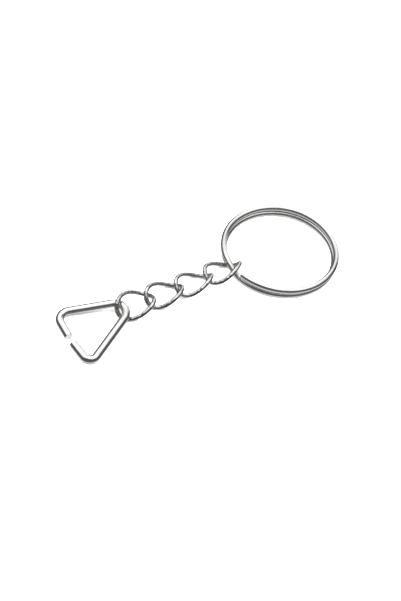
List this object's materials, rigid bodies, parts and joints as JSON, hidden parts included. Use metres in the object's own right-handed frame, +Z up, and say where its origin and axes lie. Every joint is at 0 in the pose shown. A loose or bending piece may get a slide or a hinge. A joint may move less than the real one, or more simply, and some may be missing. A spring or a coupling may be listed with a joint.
{
  "type": "split key ring with chain and triangle ring",
  "caption": "Nickel-plated split key ring on a short twisted-link chain that ends in an open triangular wire ring.",
  "frame": {"origin": "middle of the whole object's footprint, on the surface it lies on", "axes": "+X from the triangle along the chain to the split ring, +Z up from the surface it lies on, +Y to the chain's left"},
  "size_m": [0.0631, 0.025, 0.0041],
  "materials": {
    "ring_plating": "bright nickel plating, polished, with fine drawing marks",
    "chain_plating": "bright nickel plating, barrel polished",
    "triangle_plating": "bright nickel plating on drawn wire"
  },
  "bodies": {
    "split_ring_body": {"split_ring": "ring_plating"},
    "ring_link_body": {"ring_link": "chain_plating"},
    "middle_link_1_body": {"middle_link_1": "chain_plating"},
    "middle_link_2_body": {"middle_link_2": "chain_plating"},
    "triangle_link_body": {"triangle_link": "chain_plating"},
    "triangle_ring_body": {"triangle_ring": "triangle_plating"}
  },
  "joints": [
    {"name": "chain_on_split_ring", "type": "hinge", "parent": "split_ring_body", "child": "ring_link_body", "pos_m": [0.00724, 0, 0.00128], "axis": [0, 0.8944, 0.4472], "range_deg": [-10, 150]},
    {"name": "ring_link_swing", "type": "hinge", "parent": "ring_link_body", "child": "middle_link_1_body", "pos_m": [0.00135, 0.00032, 0.00188], "axis": [0, 0, 1], "range_deg": [-15, 40]},
    {"name": "middle_link_fold", "type": "hinge", "parent": "middle_link_1_body", "child": "middle_link_2_body", "pos_m": [-0.00555, 0.00047, 0.0017], "axis": [0, 1, 0], "range_deg": [-10, 50]},
    {"name": "triangle_link_swing", "type": "hinge", "parent": "middle_link_2_body", "child": "triangle_link_body", "pos_m": [-0.0124, 0.00055, 0.00183], "axis": [0, 0, 1], "range_deg": [-45, 8]},
    {"name": "triangle_swing", "type": "hinge", "parent": "triangle_link_body", "child": "triangle_ring_body", "pos_m": [-0.0198, 0.0005, 0.00203], "axis": [0, 0, 1], "range_deg": [-40, 20]}
  ]
}
